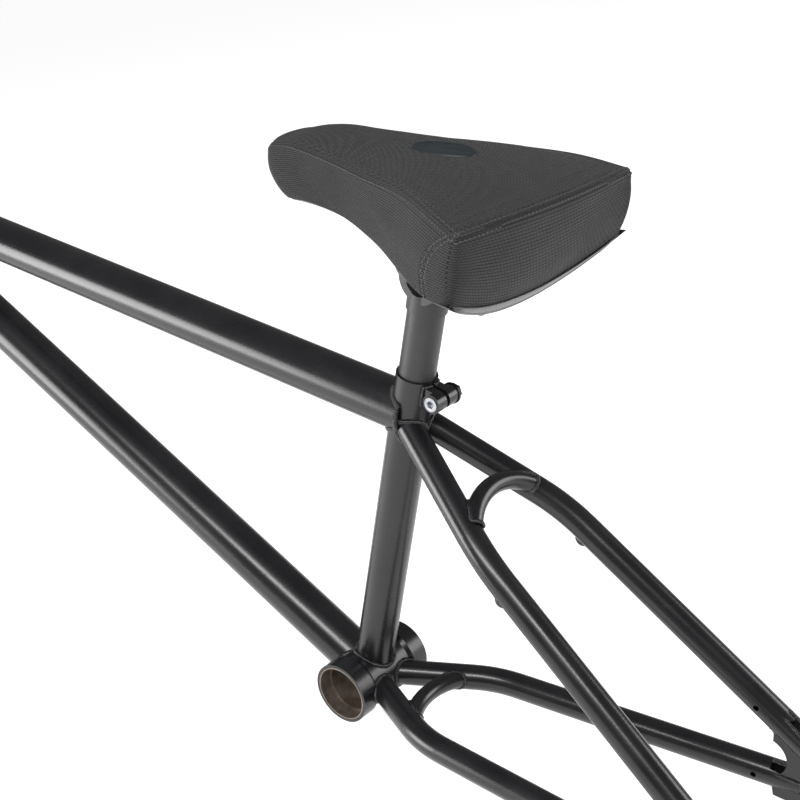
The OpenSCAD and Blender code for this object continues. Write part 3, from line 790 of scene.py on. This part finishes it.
# the lip follows the rear edge of the fabric and hugs it
rear_span = [n for n, (i, j) in enumerate(rim) if i == count_t - 1]
rear_span = sorted(rear_span, key=lambda n: rim_top[n][1])
final_wall = points[wall_index]
sections = []
for n in rear_span:
    k = columns[rim_j[n]]
    tall = 2.0 + 7.0 * (1 - k**2)
    full = 0.15 + 0.85 * ease(0.0, 0.22, 1 - abs(k))
    column = final_wall[:, n]
    up = np.cumsum(np.linalg.norm(np.diff(column[::-1], axis=0), axis=1))
    at = lambda h: np.array([np.interp(h, np.append(0, up), column[::-1][:, c]) for c in range(3)])
    out = outward[n] * 0.6 + np.array([-0.8, 0, 0])
    out = out / np.linalg.norm(out) * full
    foot, head, middle = at(0), at(tall), at(tall * 0.5)
    sections.append([foot - out * 2.0 + [0, 0, -0.2], foot + out * 0.2 + [0, 0, -0.3], foot + out * 0.8 + [0, 0, 0.2],
                     foot + out * 1.0 + [0, 0, 1.2], middle + out * 1.1, head + out * 1.0 - [0, 0, 0.6],
                     head + out * 0.8, head - out * 0.4 - [0, 0, 0.2], middle - out * 1.6])
sections = np.array(sections)
count_s, count_p = sections.shape[:2]
index = made_so_far + np.arange(count_s * count_p).reshape(count_s, count_p)
for i in range(count_s - 1):
    for j in range(count_p):
        base_faces.append([index[i, j], index[i + 1, j], index[i + 1, (j + 1) % count_p], index[i, (j + 1) % count_p]])
base_faces += [list(index[0][::-1]), list(index[-1])]
base_points.append(sections.reshape(-1, 3))
made_so_far += count_s * count_p

# cheeks beside the post head, and the saddle between them that sits on it
arc = [math.radians(a) for a in range(30, 151, 10)]
saddle = [(19, 28), (-19, 28)] + [(-19, 11)] + [(17.6 * math.cos(a), 17.6 * math.sin(a)) for a in reversed(arc)] + [(19, 11)]
cheek = [(17, 28), (-17, 28), (-17, 8)] + [(-17 * math.cos(a), 8 - 11 * math.sin(a))
                                           for a in [math.radians(d) for d in range(15, 180, 15)]] + [(17, 8)]
for outline, low_y, high_y in ((saddle, -13.4, 13.4), (cheek, 13.4, 16.6), (cheek, -16.6, -13.4)):
    count = len(outline)
    base_points.append(np.array([(x, y, z) for y in (low_y, high_y) for x, z in outline]))
    base_faces.append([made_so_far + n for n in range(count)])
    base_faces.append([made_so_far + count + n for n in reversed(range(count))])
    for n in range(count):
        after = (n + 1) % count
        base_faces.append([made_so_far + n, made_so_far + after, made_so_far + count + after, made_so_far + count + n])
    made_so_far += 2 * count
seat_tray = placed("seat_tray", np.vstack(base_points), base_faces, nylon)
seat_tray.data.set_sharp_from_angle(angle=math.radians(35))
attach(seat_tray, "seat")
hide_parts("seat_base")

# Double stitching: black bonded thread beside every seam, two rows, pulled into the fabric.
# Each stitch is a short bead of twisted thread that stands clear of its neighbours.
surface = BVHTree.FromPolygons([Vector(p) for p in points], [[int(v) for v in face] for face in faces])


def on_cover(spots, sink=0.05):
    """Each spot moved onto the cover, and sunk a little into it."""
    moved = []
    for spot in spots:
        near, facing, number, gap = surface.find_nearest(Vector(spot))
        outside = facing if facing.dot(Vector(spot) - Vector((0, 0, 50))) > 0 else -facing
        moved.append(np.array(near - outside * sink))
    return np.array(moved)


rim_final = points[wall_index[0]]
keep = np.concatenate([[True], np.linalg.norm(np.diff(rim_final, axis=0), axis=1) > 0.3])
inner_row = on_cover((rim_final - outward * 2.3 + [0, 0, 1.0])[keep])
outer_row = on_cover((rim_final + outward * 1.0 - [0, 0, 2.3])[keep])
stitch_runs = [inner_row, outer_row]
for corner_at, way in ((corner_left, -1), (corner_right, 1)):
    for beside in (-2.3, 2.3):
        run = []
        for number in range(4, len(wall_steps), 1):
            place = corner_at + way * corner_reach * (1 - (1 - wall_steps[number]) ** 2.6) + beside
            place %= rim_total
            level_points = final_wall[number]
            run.append([np.interp(place, np.append(rim_place, rim_total), np.append(level_points[:, c], level_points[0, c]))
                        for c in range(3)])
        stitch_runs.append((on_cover(run), "open"))
to_row = np.array(seat_frame.to_3x3())
shift = np.array(seat_frame.translation) * 1000
world_runs = []
for run in stitch_runs:
    spots = run[0] if isinstance(run, tuple) else run
    spots = spots @ to_row.T + shift
    world_runs.append((spots, "open") if isinstance(run, tuple) else spots)
thread_finish = Finish("bonded_thread", Specular_IOR_Level=0.5)
twist = thread_finish.node("ShaderNodeTexWave", {"bands_direction": "DIAGONAL"},
                           {"Vector": thread_finish.place(), "Scale": 900.0})
shade = thread_finish.noise(200.0)
thread_finish.feed(Base_Color=thread_finish.colours(shade, (0.03, 0.03, 0.03), (0.06, 0.06, 0.06)),
                   Roughness=shade * 0.2 + 0.4)
thread_finish.bump(twist, 0.0001, 0.5)
stitches = beaded("cover_stitches", world_runs, thread_finish, 3.2, 0.95, 2.6, 0.06, 9)
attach(stitches, "seat")

# Oval patch: a smooth moulded badge, left plain, sewn over the bolt hole, with a slit through
# which the hexagon key reaches the bolt.
patch_finish = Finish("moulded_patch", Specular_IOR_Level=0.5)
patch_grain = patch_finish.noise(700.0, 2.0)
patch_cloud = patch_finish.noise(60.0, 3.0)
patch_finish.feed(Base_Color=patch_finish.colours(patch_cloud, (0.006, 0.009, 0.010), (0.012, 0.017, 0.019)),
                  Roughness=patch_grain * 0.15 + 0.42)
patch_finish.bump(patch_grain, 0.00008, 0.5)
centre_x, half_x, half_y = -9.0, 24.0, 12.5
rings = [0, 0.08, 0.16, 0.24, 0.32, 0.4, 0.48, 0.56, 0.64, 0.72, 0.8, 0.87, 0.92, 0.955, 0.98, 1.0]
spokes = 96
patch_top, patch_low = [], []
for ring_share in rings[1:]:
    for n in range(spokes):
        angle = 2 * math.pi * n / spokes
        x = centre_x + half_x * ring_share * math.cos(angle)
        y = half_y * ring_share * math.sin(angle)
        hit, facing, number, gap = surface.ray_cast(Vector((x, y, 150)), Vector((0, 0, -1)))
        end_gap = max(abs(x - centre_x) - 13.5, 0.0)
        slit_depth = 1.3 * math.exp(-(y / 0.9) ** 2 - (end_gap / 1.2) ** 2)
        border = 0.7 * math.exp(-((ring_share - 0.93) / 0.035) ** 2)
        height = 0.6 + border - slit_depth - (0.6 if ring_share == 1.0 else 0)
        patch_top.append((x, y, hit.z + height))
        patch_low.append((x, y, hit.z - 1.6))
hit, facing, number, gap = surface.ray_cast(Vector((centre_x, 0, 150)), Vector((0, 0, -1)))
count = len(patch_top)
patch_points = np.array(patch_top + patch_low + [(centre_x, 0, hit.z - 0.95), (centre_x, 0, hit.z - 1.9)])
patch_faces = []
for r in range(len(rings) - 2):
    for n in range(spokes):
        after = (n + 1) % spokes
        a, b, c, d = r * spokes + n, (r + 1) * spokes + n, (r + 1) * spokes + after, r * spokes + after
        patch_faces += [[a, b, c, d], [count + d, count + c, count + b, count + a]]
for n in range(spokes):
    after = (n + 1) % spokes
    last = (len(rings) - 2) * spokes
    patch_faces += [[2 * count, n, after], [2 * count + 1, count + after, count + n],
                    [last + n, count + last + n, count + last + after, last + after]]
patch = placed("bolt_patch_piece", patch_points, patch_faces, patch_finish)
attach(patch, "seat")
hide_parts("bolt_patch")


# Studio: a white floor and backdrop light, one long soft box above and two beside the frame.
floor_finish = Finish("pale_floor", Roughness=0.8, Base_Color=(0.4, 0.4, 0.4, 1),
                      Emission_Color=(1, 1, 1, 1), Emission_Strength=0.88)
floor_mesh = bpy.data.meshes.new("floor")
floor_level = cad_low[2] - 0.0005
floor_mesh.from_pydata([(x * 40, y * 40, floor_level) for x, y in ((-1, -1), (1, -1), (1, 1), (-1, 1))],
                       [], [(0, 1, 2, 3)])
floor_mesh.materials.append(floor_finish.material)
floor = bpy.data.objects.new("floor", floor_mesh)
bpy.context.scene.collection.objects.link(floor)

world = bpy.data.worlds.new("studio") if not bpy.context.scene.world else bpy.context.scene.world
bpy.context.scene.world = world
world.use_nodes = True
sky = world.node_tree
room, paper, mix = sky.nodes["Background"], sky.nodes.new("ShaderNodeBackground"), sky.nodes.new("ShaderNodeMixShader")
room.inputs["Color"].default_value = (1.0, 1.0, 1.0, 1)
room.inputs["Strength"].default_value = 0.16
paper.inputs["Color"].default_value = (1.0, 1.0, 1.0, 1)
paper.inputs["Strength"].default_value = 1.0
sky.links.new(sky.nodes.new("ShaderNodeLightPath").outputs["Is Camera Ray"], mix.inputs[0])
sky.links.new(room.outputs[0], mix.inputs[1])
sky.links.new(paper.outputs[0], mix.inputs[2])
sky.links.new(mix.outputs[0], sky.nodes["World Output"].inputs["Surface"])


def soft_box(name, place, aim, size, watts, gloss=True):
    """A rectangular soft light aimed at a point. Without gloss it isn't seen in reflections."""
    box = bpy.data.lights.new(name, "AREA")
    box.shape, box.size, box.size_y, box.energy = "RECTANGLE", size[0], size[1], watts
    lamp = bpy.data.objects.new(name, box)
    bpy.context.scene.collection.objects.link(lamp)
    lamp.location = place
    lamp.rotation_euler = (Vector(aim) - Vector(place)).to_track_quat("-Z", "Y").to_euler()
    lamp.visible_glossy = gloss
    return lamp


soft_box("fill_light", (0.0, 0.0, 2.2), (0, 0, 0), (3.0, 3.0), 60, gloss=False)
soft_box("left_box", (1.35, 1.15, 0.25), (0, 0, 0.2), (0.9, 0.8), 22)
soft_box("strip_light", (-0.45, 1.15, 1.35), (-0.1, 0, 0.2), (1.5, 0.2), 26)
soft_box("rear_box", (-1.3, -1.3, 0.5), (0, 0, 0.2), (0.7, 0.9), 12)
